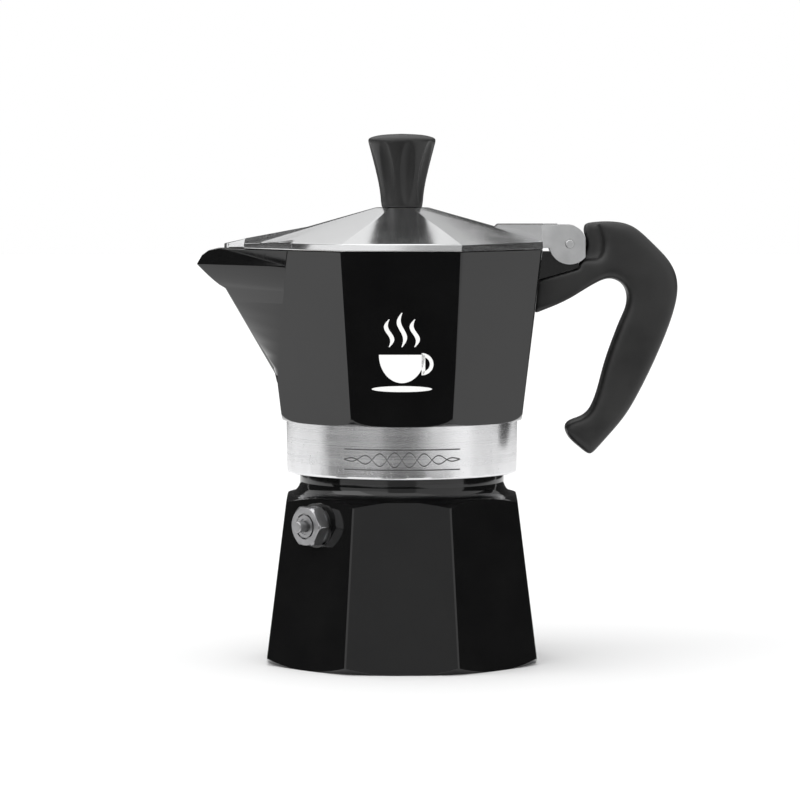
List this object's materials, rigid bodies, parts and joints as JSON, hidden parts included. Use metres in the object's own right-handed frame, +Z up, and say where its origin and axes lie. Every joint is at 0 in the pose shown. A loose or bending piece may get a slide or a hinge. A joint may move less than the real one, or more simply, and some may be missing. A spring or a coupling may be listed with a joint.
{
  "type": "moka pot",
  "caption": "Stove-top coffee maker: a faceted boiler with a safety valve, a screw-on collector with a pouring spout and side handle, and a hinged lid with a fluted knob.",
  "frame": {"origin": "middle of the boiler's flat foot, on the surface that it stands on", "axes": "+Z up, -X out of the spout, +X toward the handle, Y across"},
  "size_m": [0.1504, 0.087, 0.165],
  "materials": {
    "black_enamel": "gloss black enamel on cast aluminium",
    "aluminium": "polished cast aluminium",
    "steel": "turned steel",
    "brass": "turned brass",
    "silicone": "white silicone rubber",
    "black_plastic": "satin black phenolic plastic"
  },
  "bodies": {
    "boiler": {"boiler": "black_enamel", "valve_body": "steel", "valve_washer": "steel", "valve_bush": "steel", "valve_spring": "steel", "funnel": "aluminium", "funnel_sieve": "aluminium"},
    "relief_pin": {"valve_pin": "steel", "valve_seal": "silicone"},
    "seal_stack": {"gasket": "silicone", "filter_plate": "aluminium"},
    "collector": {"collector": "black_enamel", "handle": "black_plastic", "handle_screw": "steel", "hinge_pin": "steel"},
    "lid": {"lid": "aluminium", "knob": "black_plastic", "knob_insert": "brass", "knob_screw": "steel", "knob_washer": "steel"}
  },
  "joints": [
    {"name": "valve_pin_travel", "type": "slide", "parent": "boiler", "child": "relief_pin", "axis": [-0.7071, -0.7071, 0], "range_m": [0, 0.0018], "stiffness_N_per_m": 600, "springref_m": -0.001, "deforming": ["valve_spring"]},
    {"name": "collector_rise", "type": "slide", "parent": "boiler", "child": "seal_stack", "axis": [0, 0, 1], "range_m": [0, 0.007]},
    {"name": "collector_turn", "type": "hinge", "parent": "seal_stack", "child": "collector", "pos_m": [0, 0, 0.065], "axis": [0, 0, 1], "range_deg": [0, 810]},
    {"name": "lid_hinge", "type": "hinge", "parent": "collector", "child": "lid", "pos_m": [0.05223, 0, 0.1308], "axis": [0, 1, 0], "range_deg": [0, 100]}
  ],
  "couplings": [
    {"joint": "collector_rise", "follows": "collector_turn", "m_per_rad": 0.00047746}
  ]
}
